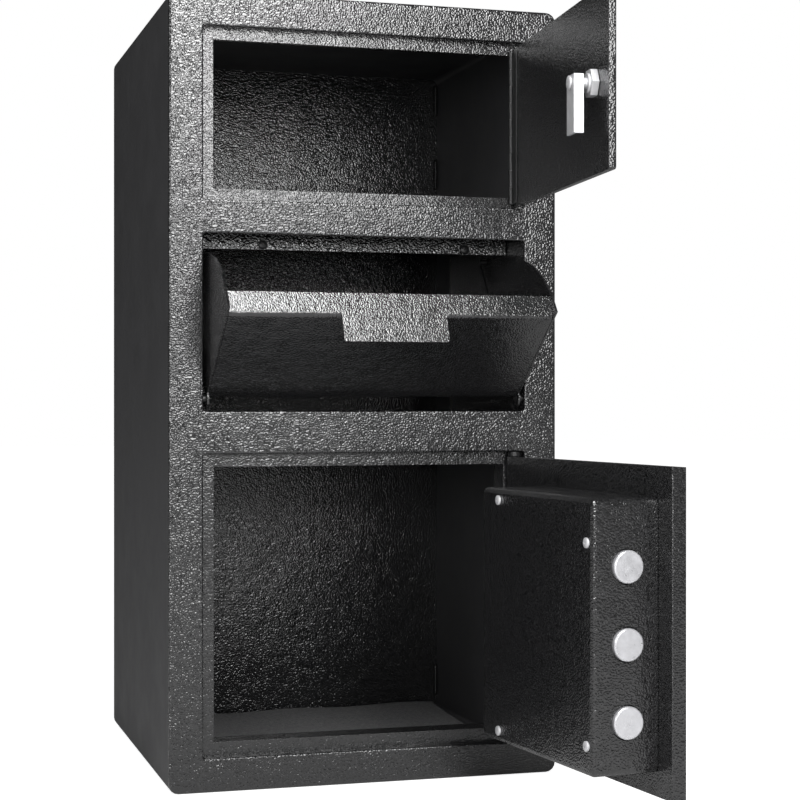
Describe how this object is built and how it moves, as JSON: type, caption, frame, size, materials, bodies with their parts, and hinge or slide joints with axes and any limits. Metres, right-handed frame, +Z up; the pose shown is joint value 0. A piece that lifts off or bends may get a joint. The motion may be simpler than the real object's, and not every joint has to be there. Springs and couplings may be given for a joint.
{
  "type": "drop safe with deposit drawer",
  "caption": "Tall steel drop safe: locker compartment above a tilting deposit hopper, and a lower compartment closed by a thick door with bolts, knob and keypad.",
  "frame": {"origin": "centre of the cabinet's underside, on the floor", "axes": "+Z up, -Y out of the front with the doors, +X to the viewer's right seen from the front, on the side of both door hinges"},
  "size_m": [0.3838, 0.6478, 0.71],
  "materials": {
    "hammered_paint": "black hammered powder coat with an orange-peel texture",
    "smooth_paint": "smooth black paint",
    "zinc": "bright zinc plate",
    "bolt_steel": "turned bright steel",
    "felt": "needled charcoal felt",
    "housing_plastic": "moulded black plastic",
    "key_plastic": "moulded grey plastic, blank"
  },
  "bodies": {
    "cabinet": {"cabinet_shell": "hammered_paint", "back_panel": "hammered_paint", "front_frame": "hammered_paint", "locker_stop_frame": "hammered_paint", "safe_stop_frame": "hammered_paint", "locker_shelf": "hammered_paint", "chamber_side_left": "hammered_paint", "chamber_side_right": "hammered_paint", "drop_chute": "hammered_paint", "baffle_strip": "hammered_paint", "baffle_screw_left": "smooth_paint", "baffle_screw_right": "smooth_paint", "hopper_pivot_left": "smooth_paint", "hopper_pivot_right": "smooth_paint", "hopper_stop_left": "smooth_paint", "hopper_stop_right": "smooth_paint", "safe_hinge_pin_top": "smooth_paint", "safe_hinge_pin_bottom": "smooth_paint", "locker_hinge_pin": "zinc", "locker_hinge_frame_leaf": "smooth_paint", "floor_mat": "felt"},
    "hopper": {"hopper_pan": "hammered_paint", "hopper_side_left": "hammered_paint", "hopper_side_right": "hammered_paint"},
    "upper_door": {"locker_door": "hammered_paint", "locker_hinge_door_leaf": "smooth_paint", "lock_housing": "zinc", "lock_nut": "zinc"},
    "cam_lock": {"lock_plug": "zinc", "lock_cam": "zinc", "cam_screw": "zinc"},
    "lower_door": {"safe_door": "hammered_paint", "lock_box_cover": "hammered_paint", "cover_screw_hinge_top": "zinc", "cover_screw_hinge_bottom": "zinc", "cover_screw_free_top": "zinc", "cover_screw_free_bottom": "zinc", "bolt_guide": "zinc", "control_unit": "housing_plastic", "keypad_housing": "housing_plastic"},
    "bolts": {"bolt_bottom": "bolt_steel", "bolt_middle": "bolt_steel", "bolt_top": "bolt_steel", "bolt_bar": "zinc"},
    "turn_knob": {"knob_spindle": "zinc", "knob": "housing_plastic"},
    "press_01": {"key_01": "key_plastic"},
    "press_02": {"key_02": "key_plastic"},
    "press_03": {"key_03": "key_plastic"},
    "press_04": {"key_04": "key_plastic"},
    "press_05": {"key_05": "key_plastic"},
    "press_06": {"key_06": "key_plastic"},
    "press_07": {"key_07": "key_plastic"},
    "press_08": {"key_08": "key_plastic"},
    "press_09": {"key_09": "key_plastic"},
    "press_10": {"key_10": "key_plastic"},
    "press_11": {"key_11": "key_plastic"},
    "press_12": {"key_12": "key_plastic"}
  },
  "joints": [
    {"name": "upper_door_hinge", "type": "hinge", "parent": "cabinet", "child": "upper_door", "pos_m": [0.141, -0.172, 0.6016], "axis": [0, 0, 1], "range_deg": [-84.8, 7.2]},
    {"name": "cam_turn", "type": "hinge", "parent": "upper_door", "child": "cam_lock", "pos_m": [0.1178, -0.42695, 0.6003], "axis": [-0.9959, 0.0906, 0], "range_deg": [0, 90]},
    {"name": "hopper_tilt", "type": "hinge", "parent": "cabinet", "child": "hopper", "pos_m": [0, -0.171, 0.349], "axis": [1, 0, 0], "range_deg": [-53.8, 0]},
    {"name": "lower_door_hinge", "type": "hinge", "parent": "cabinet", "child": "lower_door", "pos_m": [0.1434, -0.1745, 0.1635], "axis": [0, 0, 1], "range_deg": [-96.2, 1.3]},
    {"name": "bolt_slide", "type": "slide", "parent": "lower_door", "child": "bolts", "axis": [0.108, -0.9942, 0], "range_m": [0, 0.02]},
    {"name": "knob_turn", "type": "hinge", "parent": "lower_door", "child": "turn_knob", "pos_m": [0.16216, -0.34718, 0.1546], "axis": [0.9942, 0.108, 0], "range_deg": [0, 90]},
    {"name": "key_01_press", "type": "slide", "parent": "lower_door", "child": "press_01", "axis": [-0.9942, -0.108, 0], "range_m": [0, 0.0015], "stiffness_N_per_m": 400},
    {"name": "key_02_press", "type": "slide", "parent": "lower_door", "child": "press_02", "axis": [-0.9942, -0.108, 0], "range_m": [0, 0.0015], "stiffness_N_per_m": 400},
    {"name": "key_03_press", "type": "slide", "parent": "lower_door", "child": "press_03", "axis": [-0.9942, -0.108, 0], "range_m": [0, 0.0015], "stiffness_N_per_m": 400},
    {"name": "key_04_press", "type": "slide", "parent": "lower_door", "child": "press_04", "axis": [-0.9942, -0.108, 0], "range_m": [0, 0.0015], "stiffness_N_per_m": 400},
    {"name": "key_05_press", "type": "slide", "parent": "lower_door", "child": "press_05", "axis": [-0.9942, -0.108, 0], "range_m": [0, 0.0015], "stiffness_N_per_m": 400},
    {"name": "key_06_press", "type": "slide", "parent": "lower_door", "child": "press_06", "axis": [-0.9942, -0.108, 0], "range_m": [0, 0.0015], "stiffness_N_per_m": 400},
    {"name": "key_07_press", "type": "slide", "parent": "lower_door", "child": "press_07", "axis": [-0.9942, -0.108, 0], "range_m": [0, 0.0015], "stiffness_N_per_m": 400},
    {"name": "key_08_press", "type": "slide", "parent": "lower_door", "child": "press_08", "axis": [-0.9942, -0.108, 0], "range_m": [0, 0.0015], "stiffness_N_per_m": 400},
    {"name": "key_09_press", "type": "slide", "parent": "lower_door", "child": "press_09", "axis": [-0.9942, -0.108, 0], "range_m": [0, 0.0015], "stiffness_N_per_m": 400},
    {"name": "key_10_press", "type": "slide", "parent": "lower_door", "child": "press_10", "axis": [-0.9942, -0.108, 0], "range_m": [0, 0.0015], "stiffness_N_per_m": 400},
    {"name": "key_11_press", "type": "slide", "parent": "lower_door", "child": "press_11", "axis": [-0.9942, -0.108, 0], "range_m": [0, 0.0015], "stiffness_N_per_m": 400},
    {"name": "key_12_press", "type": "slide", "parent": "lower_door", "child": "press_12", "axis": [-0.9942, -0.108, 0], "range_m": [0, 0.0015], "stiffness_N_per_m": 400}
  ],
  "couplings": [
    {"joint": "knob_turn", "follows": "bolt_slide", "rad_per_m": 78.5}
  ]
}
